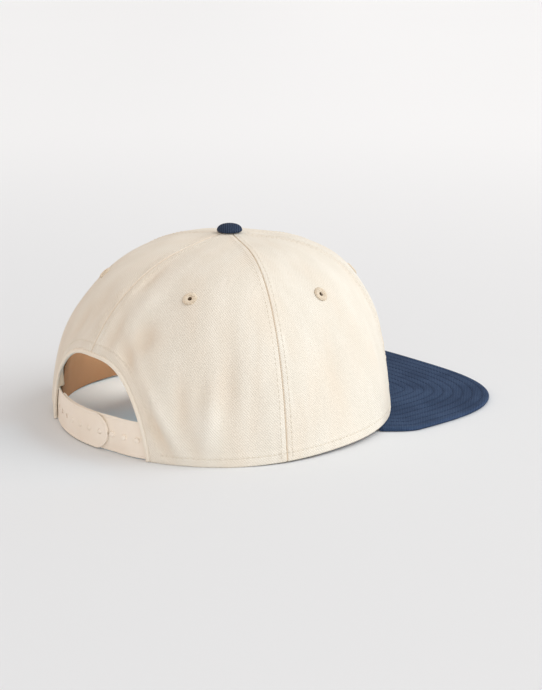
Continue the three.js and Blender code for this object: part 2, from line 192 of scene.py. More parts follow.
# How far the cloth stands out from the plain form: the seam bands, the turned hems, the small
# puckers that the stitching draws, and the soft dents of the cloth between them.
def relief(phi, climb):
    place = crown_face(phi, climb)
    rim = rim_point(phi)
    away = np.abs((phi + np.pi) % (2 * np.pi) - np.pi)
    radius = np.hypot(rim[..., 0], rim[..., 1]) * np.cos(climb)
    seams = np.radians([0, FRONT_SEAM, BACK_SEAM, 180])
    to_seam = np.min(np.abs(away[..., None] - seams), -1) * radius
    height = place[..., 2] - rim[..., 2]
    to_arch = nearest(place, ARCH_HEM)
    to_hem = np.minimum(height, to_arch)
    along = place[..., 2] + 0.4 * radius
    round_rim = away * radius + place[..., 2] * (to_arch < height)
    clear = smooth(radius, 5, 16)
    out = 0.22 * (1 - smooth(to_seam, 3.6, 5.6)) * clear
    out -= 0.8 * np.exp(-(to_seam / 0.33) ** 2)
    out -= 0.05 * np.exp(-((to_seam - ROW_FROM_SEAM) / 0.5) ** 2) * clear
    draw = np.exp(-np.maximum(to_seam - 3, 0) / 8) * smooth(to_seam, 0.6, 2.5) * clear
    draw *= 1 + 1.2 * smooth(away, 2.6, 3.0)
    out += 0.13 * draw * np.sin(along / 1.25 + 1.7 * np.sin(along / 9.0) + 3 * away)
    out -= 0.75 * (1 - np.sqrt(1 - (1 - np.clip(to_hem / 1.1, 0, 1)) ** 2))
    out += 0.26 * (1 - smooth(to_hem, 5.0, 6.8))
    out -= 0.2 * np.exp(-((to_hem - ROW_FROM_HEM) / 0.5) ** 2)
    pull = np.exp(-np.maximum(to_hem - ROW_FROM_HEM, 0) / 8) * smooth(to_hem, 0.5, 3)
    out += 0.12 * pull * np.sin(round_rim / 1.3 + 2.0 * np.sin(round_rim / 11.0))
    x, y, z = place[..., 0], place[..., 1], place[..., 2]
    loose = (1 - np.exp(-to_seam / 11)) * (1 - np.exp(-to_hem / 9)) * smooth(radius, 12, 40)
    dents = np.sin(x / 13 + 0.9 + y / 29) * np.sin(z / 12 - y / 23 + 0.4)
    dents += 0.8 * np.sin(y / 11 + z / 21 + x / 37 + 2.1) * np.sin(z / 17 + x / 19)
    out += 0.75 * loose * dents
    return out + folds(phi, climb) * smooth(to_seam, 2, 6) * smooth(to_hem, 2, 7)


def cloth_point(phi, climb, lift=0.0):
    return crown_face(phi, climb) + crown_normal(phi, climb) * (relief(phi, climb) + lift)[..., None]


# Climbs at which each meridian reaches given shares and distances of its own length.
def rows_along(phi, start, near, count):
    top = math.acos(TOP_HOLE_RADIUS / HALF_WIDTH)
    found, lengths = [], []
    for angle, first in zip(phi, start):
        heights = np.linspace(0, CROWN_HEIGHT * 0.96, 260)
        tries = np.concatenate([climb_at(np.full(260, angle), heights), np.linspace(0, top, 160)])
        tries = np.unique(np.clip(tries, 0, top))
        way = crown_face(np.full(len(tries), angle), tries)
        length = np.concatenate([[0], np.cumsum(np.linalg.norm(np.diff(way, axis=0), axis=1))])
        at_start = np.interp(first, tries, length)
        rest = np.linspace(at_start + near[-1], length[-1], count + 1)[1:]
        wanted = np.concatenate([at_start + np.array(near), rest])
        found.append(np.interp(wanted, length, tries))
        lengths.append(wanted)
    return np.array(found), np.array(lengths)


# A grid mesh in the row frame, from points in millimetres, with its cloth lengths as a UV map.
def grid_piece(name, points, cloth=None):
    columns, rows = points.shape[:2]
    bpy.ops.mesh.primitive_grid_add(x_subdivisions=rows - 1, y_subdivisions=columns - 1, size=1)
    piece = bpy.context.object
    piece.name = piece.data.name = name
    mesh = piece.data
    mesh.vertices.foreach_set("co", in_frame(points.reshape(-1, 3)).ravel())
    if cloth is not None:
        corner = np.zeros(len(mesh.loops), dtype=int)
        mesh.loops.foreach_get("vertex_index", corner)
        mesh.uv_layers[0].data.foreach_set("uv", (cloth.reshape(-1, 2)[corner] * 0.001).ravel())
    mesh.update()
    return piece


def face_outwards(piece, outward):
    face = piece.data.polygons[len(piece.data.polygons) // 2]
    if face.normal.dot(Vector(outward)) < 0:
        piece.data.flip_normals()


def apply_modifier(piece, kind, **settings):
    bpy.context.view_layer.objects.active = piece
    added = piece.modifiers.new(kind.title(), kind)
    for key, value in settings.items():
        setattr(added, key, value)
    bpy.ops.object.modifier_apply(modifier=added.name)


def shade_smooth(piece, degrees=40):
    bpy.ops.object.select_all(action="DESELECT")
    piece.select_set(True)
    bpy.context.view_layer.objects.active = piece
    bpy.ops.object.shade_smooth_by_angle(angle=math.radians(degrees))
    piece.select_set(False)


class Wire:
    """A value or a colour on its way through the nodes of one finish."""

    def __init__(self, finish, socket):
        self.finish, self.socket = finish, socket

    def maths(self, operation, *others):
        values = {i: value for i, value in enumerate((self, *others))}
        return self.finish.node("ShaderNodeMath", {"operation": operation}, values)

    def __add__(self, other):
        return self.maths("ADD", other)

    def __sub__(self, other):
        return self.maths("SUBTRACT", other)

    def __mul__(self, other):
        return self.maths("MULTIPLY", other)

    def __rsub__(self, other):
        return self * -1 + other

    __radd__, __rmul__ = __add__, __mul__

    def wave(self, pitch):
        return (self * (2 * math.pi / pitch)).maths("SINE") * 0.5 + 0.5

    def between(self, low, high):
        settings = {"interpolation_type": "SMOOTHSTEP"}
        return self.finish.node("ShaderNodeMapRange", settings, {0: self, 1: low, 2: high})


class Nodes:
    """The nodes of a finish or of the studio's surroundings."""

    def __init__(self, owner):
        owner.use_nodes = True
        self.tree = owner.node_tree
        self.tree.nodes.clear()

    def node(self, kind, settings, values, output=0):
        made = self.tree.nodes.new(kind)
        for key, value in settings.items():
            setattr(made, key, value)
        for key, value in values.items():
            if isinstance(value, Wire):
                self.tree.links.new(value.socket, made.inputs[key])
            else:
                made.inputs[key].default_value = value
        return Wire(self, made.outputs[output] if made.outputs else None)

    def mix(self, factor, first, second):
        settings = {"data_type": "RGBA"}
        return self.node("ShaderNodeMix", settings, {0: factor, 6: first, 7: second}, 2)


class Finish(Nodes):
    """One procedural finish, with its shader's plain values and what varies over it."""

    def __init__(self, name, **plain):
        self.material = bpy.data.materials.new(name)
        super().__init__(self.material)
        self.shader = self.node("ShaderNodeBsdfPrincipled", {}, plain)
        self.node("ShaderNodeOutputMaterial", {}, {"Surface": self.shader})

    def place(self, source):
        start = self.node("ShaderNodeTexCoord", {}, {}, 2 if source == "cloth" else 3)
        split = self.tree.nodes.new("ShaderNodeSeparateXYZ")
        self.tree.links.new(start.socket, split.inputs[0])
        return [Wire(self, split.outputs[i]) * 1000 for i in range(3)], start

    def noise(self, vector, scale, detail=2.0):
        return self.node("ShaderNodeTexNoise", {}, {"Vector": vector, "Scale": scale, "Detail": detail})

    def show(self, **varying):
        shader = self.shader.socket.node
        for key, value in varying.items():
            self.tree.links.new(value.socket, shader.inputs[key.replace("_", " ")])

    def bump(self, height, distance):
        return self.node("ShaderNodeBump", {}, {"Strength": 1.0, "Distance": distance, "Height": height})


# Twill: diagonal ribs of yarn with the crossing yarns just visible between them. The cloth isn't
# quite even: it is a little warmer in broad clouds. Its colour is also painted warmer and darker in
# the dents of its folds and along its joins, which is painted shade, and paler on its raised folds,
# which is a painted highlight. On the arch tape the same warm colour on the turned-in flap is
# painted warm light.
def twill(name, light, dark, warm, pitch, depth, clouds=0.6, **plain):
    finish = Finish(name, **plain)
    (u, v, _), start = finish.place("cloth")
    wander = finish.noise(start, 260.0, 1.0)
    rib = (u + v + wander * (1.6 * pitch)).wave(pitch * 1.414)
    yarn = (u - v + wander * (1.6 * pitch)).wave(pitch * 1.414)
    weave = rib * 0.3 + rib * yarn * 0.7
    fuzz = finish.noise(start, 1900.0, 2.0)
    hang = finish.node("ShaderNodeVectorMath", {"operation": "MULTIPLY"}, {0: start, 1: (2.0, 0.8, 1.0)})
    cloud = finish.noise(hang, 45.0, 3.0).between(0.3, 0.7)
    tint = finish.noise(hang, 24.0, 2.0).between(0.38, 0.68)
    # Painted highlight: the cloth is painted paler on its raised folds.
    painted_fold_highlight = finish.node("ShaderNodeAttribute", {"attribute_name": "painted_fold_highlight"}, {}, 2)
    tone = weave * 0.55 + fuzz * 0.3 + cloud * 0.25 + painted_fold_highlight * 0.3
    plain_cloth = finish.mix(tone.between(0.15, 0.95), dark, light)
    # Painted shade and painted light: this attribute warms the colour in fold dents and joins as painted
    # shade, and on the arch tape's turned-in flap as painted warm light.
    painted_shade_and_glow = finish.node("ShaderNodeAttribute", {"attribute_name": "painted_shade_and_glow"}, {}, 2)
    finish.show(
        Base_Color=finish.mix(tint * clouds + painted_shade_and_glow * 0.8, plain_cloth, warm),
        Roughness=0.93 - weave * 0.08,
        Normal=finish.bump(weave + fuzz * 0.35, depth),
    )
    return finish.material


cream_twill = twill(
    "cream_twill", (0.915, 0.872, 0.785, 1), (0.80, 0.742, 0.64, 1), (0.815, 0.715, 0.59, 1),
    1.03, 0.00016, 0.45,
    **{"Sheen Weight": 0.05, "Sheen Roughness": 0.6, "Specular IOR Level": 0.15},
)
# Tan twill for the sweatband and for the inner faces of the crown panels. On the panels' inner faces the tan
# is painted shade and warm bounce light inside the crown, not the cream cloth's own colour; on the sweatband
# it is partly the band's own tan and partly painted shade.
tan_band_and_inside_shade = twill(
    "tan_band_and_inside_shade", (0.44, 0.22, 0.112, 1), (0.36, 0.175, 0.085, 1), (0.40, 0.197, 0.098, 1), 0.8, 0.0001,
    **{"Sheen Weight": 0.05, "Specular IOR Level": 0.1},
)

NEAR_HEM = [0, 0.25, 0.55, 0.9, 1.3, 1.9, 2.6, 3.3, 3.9, 4.4, 4.9, 5.5, 6.2, 7.0, 8.0, 9.2]
NEAR_SEAM = [0, 0.3, 0.6, 1.0, 1.5, 2.1, 2.6, 3.0, 3.4, 3.9, 4.5, 5.2, 6.1, 7.3]
PANELS = {"front": (0, FRONT_SEAM), "side": (FRONT_SEAM, BACK_SEAM), "back": (BACK_SEAM, 180)}


def column_angles(name):
    start, end = PANELS[name]
    near = np.degrees(np.array(NEAR_SEAM) / HALF_WIDTH)
    if name != "back":
        between = np.linspace(start + near[-1], end - near[-1], int((end - start) * 1.1))
        return np.concatenate([start + near[:-1], between, end - near[-2::-1]])
    half = ARCH_HALF_ANGLE + math.degrees(HEM_GAP / BACK_LENGTH)
    corner = 180 - half
    between = np.linspace(start + near[-1], corner - 9, 26)
    closer = corner - 9 * np.cos(np.linspace(0, np.pi / 2, 18))[1:]
    turn = np.linspace(0, np.pi / 2, 62)
    over = 180 - half * np.cos(turn)
    over = over[over < 180 - near[-1]]
    return np.concatenate([start + near[:-1], between, closer, over[1:], 180 - near[::-1]])


def crown_panel(name, side, sign):
    angles = column_angles(name)
    start, end = PANELS[name]
    middle = np.radians(angles)
    foot = rim_point(middle)
    half = ARCH_HALF_ANGLE + math.degrees(HEM_GAP / BACK_LENGTH)
    hem = (ARCH_HEIGHT + HEM_GAP) * arch_share((180 - angles) / half)
    climbs, lengths = rows_along(middle, climb_at(middle, foot[:, 2] + hem), NEAR_HEM, 74)
    radius = np.hypot(foot[:, 0], foot[:, 1])[:, None] * np.cos(climbs)
    share = ((angles - start) / (end - start))[:, None]
    phi = sign * (middle[:, None] + (0.02 / radius) * (1 - 2 * share))
    points = cloth_point(phi, climbs)
    across = (middle - np.radians((start + end) / 2))[:, None] * radius
    cloth = np.stack([across * sign, lengths], -1)
    piece = grid_piece(f"cloth_{name}_{side}", points, cloth)
    # Painted shade: the colour is warmed and darkened in the dents of the folds and along the joins.
    painted_shade_and_glow = piece.data.attributes.new("painted_shade_and_glow", "FLOAT", "POINT")
    to_join = np.radians(np.minimum(angles - start, end - angles))[:, None] * radius
    painted_dent_and_join_shade = np.clip(-folds(phi, climbs) / 2, 0, 1) + np.exp(-(to_join / 0.5) ** 2)
    painted_shade_and_glow.data.foreach_set("value", painted_dent_and_join_shade.ravel())
    # Painted highlight: the raised folds are marked to be painted paler.
    painted_fold_highlight = piece.data.attributes.new("painted_fold_highlight", "FLOAT", "POINT")
    painted_fold_highlight.data.foreach_set("value", np.clip(folds(phi, climbs) / 1.5, 0, 1).ravel())

    # The hole for the eyelet's sleeve
    eye_phi = sign * math.radians(EYELET_ANGLE[name])
    eye_climb = climb_at(np.array(eye_phi), EYELET_HEIGHT[name])
    eye = Vector(in_frame(cloth_point(np.array(eye_phi), eye_climb)))
    shape = bmesh.new()
    shape.from_mesh(piece.data)
    hole = 0.001 * EYELET_SLEEVE
    inside = {v for v in shape.verts if (v.co - eye).length < hole}
    gone = [f for f in shape.faces if all(v in inside for v in f.verts)]
    bmesh.ops.delete(shape, geom=gone, context="FACES")
    for vert in shape.verts:
        if vert in inside:
            vert.co = eye + (vert.co - eye).normalized() * hole
    shape.to_mesh(piece.data)
    shape.free()

    mesh_middle = in_frame(points[len(points) // 2, points.shape[1] // 2])
    face_outwards(piece, Vector(mesh_middle) - Vector((0, MIDDLE_Y * 0.001, 0.02)))
    piece.data.materials.append(cream_twill)
    # The inner faces take the tan finish: painted shade inside the crown.
    piece.data.materials.append(tan_band_and_inside_shade)
    apply_modifier(piece, "SOLIDIFY", thickness=CLOTH * 0.001, offset=-1, material_offset=1)
    shade_smooth(piece, 50)
    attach(piece, "root")
    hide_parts(f"crown_panel_{name}_{side}")
    return piece


for panel_name in PANELS:
    for panel_side, panel_sign in (("left", 1), ("right", -1)):
        crown_panel(panel_name, panel_side, panel_sign)


# Topstitching. Rows of short stitches in cream thread: one row each side of every seam, and one
# along the lower edge and the arch. Each stitch is a small bead of thread that dives in at its ends.
def stitch_row(points, normals, pitch=2.8, length=2.3, thread=0.19, lift=0.02):
    steps = np.linalg.norm(np.diff(points, axis=0), axis=1)
    run = np.concatenate([[0], np.cumsum(steps)])
    count = int(run[-1] // pitch)
    if count < 1:
        return []
    starts = (run[-1] - count * pitch) / 2 + (pitch - length) / 2 + pitch * np.arange(count)
    shares = np.array([0, 0.22, 0.78, 1.0])
    girth = np.array([0.45, 1.0, 1.0, 0.45]) * thread
    dive = np.array([-0.55, 0.0, 0.0, -0.55]) * thread
    made = []
    for begin in starts:
        at = begin + shares * length
        middle = np.stack([np.interp(at, run, points[:, i]) for i in range(3)], -1)
        normal = unit(np.stack([np.interp(at, run, normals[:, i]) for i in range(3)], -1))
        ahead = unit(middle[-1] - middle[0])
        aside = unit(np.cross(ahead, normal))
        rings = []
        for k in range(4):
            turn = np.arange(6) * np.pi / 3
            centre = middle[k] + normal[k] * (lift + dive[k])
            ring = np.cos(turn)[:, None] * aside[k] + np.sin(turn)[:, None] * normal[k]
            rings.append(centre + girth[k] * ring)
        made.append(np.concatenate(rings))
    return made


def stitches_piece(name, beads, material):
    verts = in_frame(np.concatenate(beads))
    faces = []
    for start in range(0, len(verts), 24):
        for ring in range(3):
            for k in range(6):
                a, b = start + ring * 6 + k, start + ring * 6 + (k + 1) % 6
                faces.append((a, a + 6, b + 6, b))
        faces.append(tuple(start + k for k in range(6)))
        faces.append(tuple(start + 23 - k for k in range(6)))
    mesh = bpy.data.meshes.new(name)
    mesh.from_pydata([tuple(v) for v in verts], [], faces)
    piece = bpy.data.objects.new(name, mesh)
    bpy.context.scene.collection.objects.link(piece)
    first = mesh.polygons[0]
    middle = Vector(verts[:24].mean(0))
    if first.normal.dot(first.center - middle) < 0:
        mesh.flip_normals()
    mesh.materials.append(material)
    shade_smooth(piece, 60)
    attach(piece, "root")
    return piece


def thread_finish(name, light, dark, gloss=0.3):
    finish = Finish(name, **{"Specular IOR Level": gloss})
    (x, y, z), start = finish.place("object")
    ply = (x + y + z * 1.7).wave(0.32)
    fuzz = finish.noise(start, 900.0, 2.0)
    finish.show(
        Base_Color=finish.mix((ply * 0.5 + fuzz * 0.5).between(0.1, 0.9), dark, light),
        Roughness=0.75 - ply * 0.15,
        Normal=finish.bump(ply + fuzz * 0.4, 0.00006),
    )
    return finish.material


cream_thread = thread_finish("cream_thread", (0.91, 0.845, 0.73, 1), (0.84, 0.755, 0.62, 1))


def seam_beads(seam, sign, side):
    phi_seam = sign * math.radians(seam)
    start = ARCH_HEIGHT + 6 if seam == 180 else 1.2
    foot = rim_point(np.array(phi_seam))
    first = float(climb_at(np.array(phi_seam), foot[2] + start))
    line = np.full(1, phi_seam)
    climbs, _ = rows_along(line, [first], [0, 1], 150)
    radius = np.hypot(foot[0], foot[1]) * np.cos(climbs[0])
    keep = radius > 9
    climbs, radius = climbs[0][keep], radius[keep]
    phi = phi_seam + side * ROW_FROM_SEAM / radius
    return stitch_row(cloth_point(phi, climbs), crown_normal(phi, climbs))


def rim_beads(sign):
    phi = sign * np.radians(np.linspace(1, 180 - ARCH_HALF_ANGLE - 3.4, 400))
    climb = climb_at(phi, rim_point(phi)[:, 2] + ROW_FROM_HEM)
    return stitch_row(cloth_point(phi, climb), crown_normal(phi, climb), thread=0.28)


def arch_beads():
    phi, z = arch_line(HEM_GAP + ROW_FROM_HEM, 400)
    keep = z > 5
    phi, climb = phi[keep], climb_at(phi[keep], z[keep])
    return stitch_row(cloth_point(phi, climb), crown_normal(phi, climb))


seam_stitches = []
for seam, sign in ((0, 1), (FRONT_SEAM, 1), (FRONT_SEAM, -1), (BACK_SEAM, 1), (BACK_SEAM, -1), (180, 1)):
    for row_side in (1, -1):
        seam_stitches += seam_beads(seam, sign, row_side)
stitches_piece("seam_stitching", seam_stitches, cream_thread)
stitches_piece("hem_stitching", rim_beads(1) + rim_beads(-1) + arch_beads(), cream_thread)


# Arch binding. A narrow tape of the crown's cloth, folded over the edge of the arch and sewn flat.
# Above the strap it is turned in further, to cover the ends of the sweatband. There the turned-in
# flap is painted warmer, standing in for warm light coming through the thin cloth: painted light.
def binding():
    phi, z = arch_line(-0.3, 260)
    z = np.maximum(z, 0.3)
    middle = band_point(phi, z, np.full(len(z), CLOTH / 2))
    normal = crown_normal(phi, climb_at(phi, z))
    ahead = unit(np.gradient(middle, axis=0))
    aside = unit(np.cross(ahead, normal))
    turn = np.linspace(0, 2 * np.pi, 17)[:-1]
    wide, thick = 1.25, 1.05
    ring = wide * np.sign(np.cos(turn)) * np.abs(np.cos(turn)) ** 0.8
    lift = thick * np.sign(np.sin(turn)) * np.abs(np.sin(turn)) ** 0.8
    turned_in = 3.0 * np.clip((33 - z) / 12, 0, 1) * smooth(z, 19.9, 20.6)
    under = (lift < 0)[None, :] * turned_in[:, None]
    lift = lift[None, :] * (1 + under)
    ring = ring[None, :] - 0.6 * (under > 0.2)
    points = middle[:, None] + ring[..., None] * aside[:, None] + lift[..., None] * normal[:, None]
    points[..., 2] = np.maximum(points[..., 2], 0.05)
    # The second value marks the turned-in flap for its painted warm light.
    return points, np.clip(under / 1.5, 0, 1)


def tube_piece(name, points, material, cloth=None):
    count, sides = points.shape[:2]
    verts = in_frame(points.reshape(-1, 3))
    faces = [
        (i * sides + k, (i + 1) * sides + k, (i + 1) * sides + (k + 1) % sides, i * sides + (k + 1) % sides)
        for i in range(count - 1) for k in range(sides)
    ]
    faces.append(tuple(range(sides)))
    faces.append(tuple((count - 1) * sides + k for k in reversed(range(sides))))
    mesh = bpy.data.meshes.new(name)
    mesh.from_pydata([tuple(v) for v in verts], [], faces)
    piece = bpy.data.objects.new(name, mesh)
    bpy.context.scene.collection.objects.link(piece)
    if cloth is not None:
        layer = mesh.uv_layers.new(name="cloth")
        corner = np.zeros(len(mesh.loops), dtype=int)
        mesh.loops.foreach_get("vertex_index", corner)
        layer.data.foreach_set("uv", (cloth.reshape(-1, 2)[corner] * 0.001).ravel())
    shape = bmesh.new()
    shape.from_mesh(mesh)
    bmesh.ops.recalc_face_normals(shape, faces=shape.faces)
    if shape.calc_volume(signed=True) < 0:
        bmesh.ops.reverse_faces(shape, faces=shape.faces)
    shape.to_mesh(mesh)
    shape.free()
    mesh.materials.append(material)
    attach(piece, "root")
    return piece


tape_cloth = twill(
    "tape_cloth", (0.95, 0.885, 0.775, 1), (0.89, 0.815, 0.70, 1), (1.0, 0.76, 0.54, 1),
    0.7, 0.0001, 0.1,
    **{"Sheen Weight": 0.05, "Sheen Roughness": 0.6, "Specular IOR Level": 0.15},
)
binding_points, binding_painted_glow = binding()
binding_run = np.linspace(0, 150, len(binding_points))[:, None] * np.ones(16)
binding_across = np.linspace(0, 7, 16)[None, :] * np.ones((len(binding_points), 1))
binding_cloth = np.stack([binding_run, binding_across], -1)
arch_tape = tube_piece("arch_tape", binding_points, tape_cloth, binding_cloth)
# Painted light: the turned-in flap is painted warmer, for warm light coming through the cloth.
flap_painted_glow = arch_tape.data.attributes.new("painted_shade_and_glow", "FLOAT", "POINT")
flap_painted_glow.data.foreach_set("value", binding_painted_glow.ravel())
shade_smooth(arch_tape, 60)
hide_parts("arch_binding")


# Sweatband. A strip of soft cotton inside the rim, sewn at its foot and open at the arch. Its tan is partly
# the band's own colour and partly painted shade from the hollow of the crown.
BAND_HEIGHT, BAND_DEPTH, BAND_CLOTH = 32.0, 3.5, 1.0
band_phi = np.radians(np.linspace(-151.1, 151.1, 420))
band_rise = np.concatenate([
    [0, 0.4, 0.9, 1.6, 2.4, 3.2], np.linspace(4.2, 28.6, 22), [29.8, 30.6, 31.2, 31.7, 32],
])
grid_phi, grid_rise = np.meshgrid(band_phi, band_rise, indexing="ij")
band_foot = rim_point(grid_phi)[..., 2] + 0.3
slack = 0.35 * np.sin(grid_phi * 23 + 2 * np.sin(grid_phi * 5)) * smooth(grid_rise, 3, 20)
slack *= smooth(np.degrees(np.abs(grid_phi)), 151.1, 140)
fold = 0.35 * (1 - smooth(BAND_HEIGHT - grid_rise, 2.2, 3.4)) * smooth(BAND_HEIGHT - grid_rise, 0, 0.6)
band_points = band_point(grid_phi, band_foot + grid_rise, BAND_DEPTH + 0.3 + slack + fold)
band_cloth_lengths = np.stack([grid_phi * 92, grid_rise], -1)
band_piece = grid_piece("band", band_points, band_cloth_lengths)
face_outwards(band_piece, (0, -1, 0))
band_piece.data.materials.append(tan_band_and_inside_shade)
apply_modifier(band_piece, "SOLIDIFY", thickness=BAND_CLOTH * 0.001, offset=-1)
apply_modifier(
    band_piece, "BEVEL", width=0.0003, segments=2, limit_method="ANGLE", angle_limit=math.radians(60)
)
shade_smooth(band_piece, 60)
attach(band_piece, "root")
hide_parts("sweatband")


# Peak. A flat board in navy twill, its edge folded round, sewn through in rows that follow the
# edge about six millimetres apart. Its root goes under the front of the crown.
PEAK_HALF_WIDTH, PEAK_WIDEST_Y, PEAK_SQUARE = 97.7, -58.5, 3.1
PEAK_THICK, PEAK_EDGE_TOP, PEAK_ROOT_END = 2.3, 2.4, 66.0
SEW_FIRST, SEW_STEP, SEW_ROWS = 4.0, 5.6, 9


def even(points, count):
    run = np.concatenate([[0], np.cumsum(np.linalg.norm(np.diff(points, axis=0), axis=1))])
    at = np.linspace(0, run[-1], count)
    return np.stack([np.interp(at, run, points[:, i]) for i in range(points.shape[1])], -1)


def peak_edge(count):
    start = rim_point(np.array(math.radians(PEAK_ROOT_END)))
    share_side = 0.16
    points = []
    for t in np.linspace(0, 1, 1601):
        left = 1 if t < 0.5 else -1
        share = min(t, 1 - t) / share_side
        if share < 1:
            x = start[0] + 1.5 + (PEAK_HALF_WIDTH - start[0] - 1.5) * math.sin(share * math.pi / 2)
            points.append((left * x, start[1] - 1 + (PEAK_WIDEST_Y - start[1] + 1) * share, PEAK_EDGE_TOP))
        else:
            turn = (t - share_side) / (1 - 2 * share_side) * math.pi
            across = abs(math.cos(turn)) ** (2 / PEAK_SQUARE)
            ahead = abs(math.sin(turn)) ** (2 / PEAK_SQUARE)
            reach = FRONT_LENGTH + PEAK_REACH + PEAK_WIDEST_Y
            points.append((left * PEAK_HALF_WIDTH * across, PEAK_WIDEST_Y - reach * ahead, PEAK_EDGE_TOP))
    return even(np.array(points), count)


def peak_root(count):
    phi = np.radians(np.linspace(PEAK_ROOT_END, -PEAK_ROOT_END, 601))
    flat = crown_face(phi, np.zeros(601)) - crown_normal(phi, np.zeros(601)) * CLOTH
    flat[:, 2] = rim_point(phi)[:, 2] - 0.3
    return even(flat, count)


edge_line, root_line = peak_edge(321), peak_root(321)
peak_way = edge_line - root_line
peak_length = np.linalg.norm(peak_way, axis=1)
half_thick = PEAK_THICK / 2
board_rows = np.concatenate([np.linspace(0, 0.9, 34), [0.93, 0.955, 0.975, 0.99]])


def peak_section(column):
    back = half_thick / max(peak_length[column], half_thick * 1.3)
    flat = root_line[column] + np.outer(board_rows * (1 - back), peak_way[column])
    middle = edge_line[column] - peak_way[column] * back
    ahead = peak_way[column] * back
    turn = np.linspace(np.pi / 2, -np.pi / 2, 11)
    nose = middle + np.outer(np.cos(turn), ahead)
    nose[:, 2] += half_thick * np.sin(turn) - half_thick
    under = flat[::-1].copy()
    under[:, 2] -= PEAK_THICK
    return np.concatenate([flat, nose, under])


peak_points = np.array([peak_section(column) for column in range(321)])
flat_line = np.concatenate([edge_line[:, :2], np.zeros((321, 1))], 1)
flat_points = np.concatenate([peak_points[..., :2], np.zeros(peak_points.shape[:2] + (1,))], -1)
to_edge = nearest(flat_points, flat_line)
edge_run = np.linspace(0, 1, 321)[:, None] * 400 * np.ones(peak_points.shape[1])


def peak_finish():
    finish = Finish("navy_twill", **{"Specular IOR Level": 0.08})
    (x, y, _), start = finish.place("object")
    (_, inward, _), _ = finish.place("cloth")
    wander = finish.noise(start, 260.0, 1.0)
    rib = (x + y + wander * 0.8).wave(1.3)
    yarn = (x - y + wander * 0.8).wave(0.9)
    weave = rib * 0.62 + rib * yarn * 0.38
    fuzz = finish.noise(start, 1900.0, 2.0)
    cloud = finish.noise(start, 45.0, 3.0).between(0.3, 0.7)
    past_row = (inward - SEW_FIRST + SEW_STEP / 2).maths("MODULO", SEW_STEP) - SEW_STEP / 2
    channel = 1 - past_row.maths("ABSOLUTE").between(0.1, 1.7)
    # Painted shade: the sewn rows are painted darker as well as sunk by the bump.
    tone = weave * 0.35 + fuzz * 0.45 + cloud * 0.25 - channel * 0.1
    finish.show(
        Base_Color=finish.mix(
            tone.between(0.1, 0.9), (0.025, 0.043, 0.088, 1), (0.06, 0.098, 0.182, 1)
        ),
        Roughness=0.95 - weave * 0.06,
        Normal=finish.bump(weave * 0.4 + fuzz * 0.5 - channel * 0.62, 0.00028),
    )
    return finish.material


navy_twill = peak_finish()
peak_lengths = np.stack([edge_run, to_edge], -1)
peak_cloth = tube_piece("peak_cloth", peak_points, navy_twill, peak_lengths)
shade_smooth(peak_cloth, 60)
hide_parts("peak")

navy_thread = thread_finish("navy_thread", (0.04, 0.062, 0.115, 1), (0.02, 0.034, 0.07, 1), 0.05)
peak_tree = BVHTree.FromObject(peak_cloth, bpy.context.evaluated_depsgraph_get())


def peak_beads(inward, upward):
    edge = peak_edge(900)
    way = np.gradient(edge, axis=0)
    into = unit(np.stack([-way[:, 1], way[:, 0], np.zeros(900)], -1))
    if np.mean(np.sum(into * (-edge), 1)) < 0:
        into = -into
    line = edge + into * inward
    keep, normals, runs = [], [], []
    level = (1, 1, 0)
    far = nearest(line * level, (edge * level)[::5])
    for point, gap in zip(line, far):
        start = Vector(in_frame(point + np.array([0, 0, 12.0 * upward])))
        hit, normal, _, _ = peak_tree.ray_cast(start, Vector((0, 0, -upward)))
        angle = math.atan2(point[0], -point[1])
        rim = rim_point(np.array(angle))
        outside = math.hypot(point[0], point[1]) > math.hypot(rim[0], rim[1]) + (0.6 if upward > 0 else -1)
        if hit is None or not outside or gap < inward - 0.4:
            if keep:
                runs.append((keep, normals))
            keep, normals = [], []
            continue
        keep.append(np.array(hit) * 1000 - (0, MIDDLE_Y, 0))
        normals.append(np.array(normal))
    if keep:
        runs.append((keep, normals))
    beads = []
    for places, ups in runs:
        if len(places) > 8:
            beads += stitch_row(np.array(places), np.array(ups), 2.9, 2.3, 0.24, -0.05)
    return beads


peak_stitches = []
for row in range(SEW_ROWS):
    for upward in (1, -1):
        peak_stitches += peak_beads(SEW_FIRST + SEW_STEP * row, upward)
stitches_piece("peak_stitching", peak_stitches, navy_thread)


# A turned solid on the crown, from a profile of radius and height.
def turned(name, profile, sides, centre, axis, material, ripple=None):
    axis = unit(np.array(axis, dtype=float))
    first = unit(np.cross(axis, (0.3, 1.0, 0.2)))
    second = np.cross(axis, first)
    turn = np.arange(sides) * 2 * np.pi / sides
    rings = []
    for radius, height in profile:
        wide = np.full(sides, float(radius))
        if ripple:
            wide = wide + ripple(turn, radius, height)
        flat = wide[:, None] * (np.cos(turn)[:, None] * first + np.sin(turn)[:, None] * second)
        rings.append(np.array(centre) + flat + height * axis)
    return tube_piece(name, np.array(rings), material)


# Button. A small pressed dome covered in navy twill, riveted through the top of the crown.
def button_finish():
    finish = Finish("navy_button", **{"Specular IOR Level": 0.08})
    (x, y, _), start = finish.place("object")
    rib = (x * 0.8 + y + finish.noise(start, 260.0, 1.0) * 0.5).wave(1.5)
    yarn = (x - y * 0.8).wave(1.0)
    fuzz = finish.noise(start, 1900.0, 2.0)
    weave = rib * 0.65 + rib * yarn * 0.35
    finish.show(
        Base_Color=finish.mix(
            (weave * 0.7 + fuzz * 0.3).between(0.1, 0.9), (0.02, 0.032, 0.06, 1), (0.055, 0.08, 0.135, 1)
        ),
        Roughness=0.9 - weave * 0.1,
        Normal=finish.bump(weave + fuzz * 0.3, 0.0003),
    )
    return finish.material


